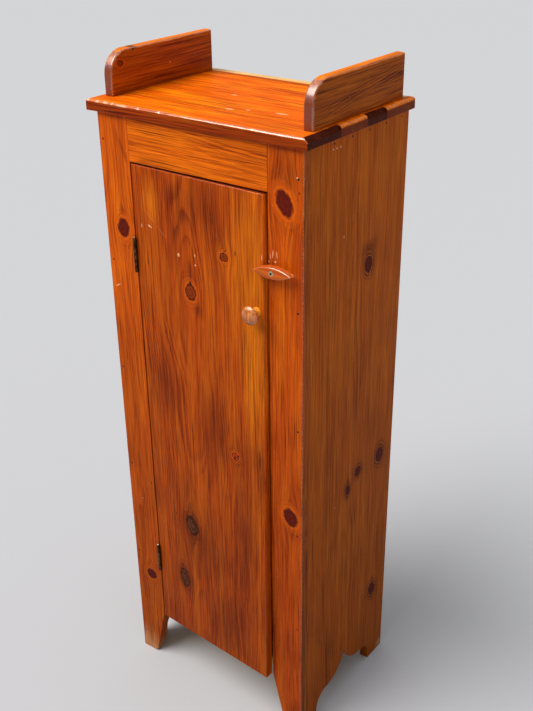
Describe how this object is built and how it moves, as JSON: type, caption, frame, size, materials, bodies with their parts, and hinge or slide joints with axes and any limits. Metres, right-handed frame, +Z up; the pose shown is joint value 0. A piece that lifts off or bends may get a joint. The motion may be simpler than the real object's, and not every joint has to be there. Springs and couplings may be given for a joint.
{
  "type": "dry sink cabinet",
  "caption": "Narrow pine dry sink cupboard with an inset door, turn button, shelves, feet and rounded gallery ends on its top.",
  "frame": {"origin": "on the floor, under the middle of the box that holds the whole cabinet", "axes": "+Z up, the door faces -Y, +X to the right of someone facing the door"},
  "size_m": [0.447, 0.3404, 1.268],
  "materials": {
    "side_pine": "amber-stained knotty pine, satin varnish",
    "frame_pine": "amber-stained knotty pine, glossy varnish",
    "top_pine": "amber-stained pine, glossy varnish, worn edges",
    "gallery_pine": "amber-stained pine, glossy varnish",
    "back_pine": "bare pine, aged",
    "shelf_pine": "bare pine, aged",
    "cleat_pine": "bare pine, aged",
    "door_pine": "amber-stained knotty pine, glossy varnish",
    "knob_wood": "turned wood, glossy varnish, worn pale",
    "button_wood": "amber-stained wood, glossy varnish",
    "hinge_brass": "darkened brass",
    "pin_steel": "tarnished steel",
    "screw_steel": "dull steel",
    "button_screw_steel": "tarnished steel",
    "nail_steel": "dark steel"
  },
  "bodies": {
    "cabinet": {"left_side": "side_pine", "right_side": "side_pine", "left_stile": "frame_pine", "right_stile": "frame_pine", "top_rail": "frame_pine", "rail_backer": "cleat_pine", "top_board": "top_pine", "left_gallery_end": "gallery_pine", "right_gallery_end": "gallery_pine", "back_board_left": "back_pine", "back_board_middle": "back_pine", "back_board_right": "back_pine", "bottom_shelf": "shelf_pine", "lower_shelf": "shelf_pine", "middle_shelf": "shelf_pine", "upper_shelf": "shelf_pine", "bottom_shelf_left_cleat": "cleat_pine", "bottom_shelf_right_cleat": "cleat_pine", "lower_shelf_left_cleat": "cleat_pine", "lower_shelf_right_cleat": "cleat_pine", "middle_shelf_left_cleat": "cleat_pine", "middle_shelf_right_cleat": "cleat_pine", "upper_shelf_left_cleat": "cleat_pine", "upper_shelf_right_cleat": "cleat_pine", "top_left_cleat": "cleat_pine", "top_right_cleat": "cleat_pine", "door_stop": "cleat_pine", "upper_hinge_frame_leaf": "hinge_brass", "lower_hinge_frame_leaf": "hinge_brass", "upper_hinge_pin": "pin_steel", "lower_hinge_pin": "pin_steel", "hinge_frame_screws": "screw_steel", "turn_button_screw": "button_screw_steel", "turn_button_spacer": "button_wood", "stile_nails": "nail_steel", "top_cleat_nails": "nail_steel", "back_nails": "nail_steel", "shelf_cleat_screws": "screw_steel", "top_cleat_screws": "screw_steel", "gallery_screws": "screw_steel"},
    "door": {"door_panel": "door_pine", "knob": "knob_wood", "knob_screw": "screw_steel", "upper_hinge_door_leaf": "hinge_brass", "lower_hinge_door_leaf": "hinge_brass", "hinge_door_screws": "screw_steel"},
    "turn_button": {"turn_button": "button_wood"}
  },
  "joints": [
    {"name": "door_hinge", "type": "hinge", "parent": "cabinet", "child": "door", "pos_m": [-0.1385, -0.13928, 0.6], "axis": [0, 0, -1], "range_deg": [0, 170]},
    {"name": "button_turn", "type": "hinge", "parent": "cabinet", "child": "turn_button", "pos_m": [0.165, -0.14778, 0.978], "axis": [0, 1, 0], "continuous": true}
  ]
}
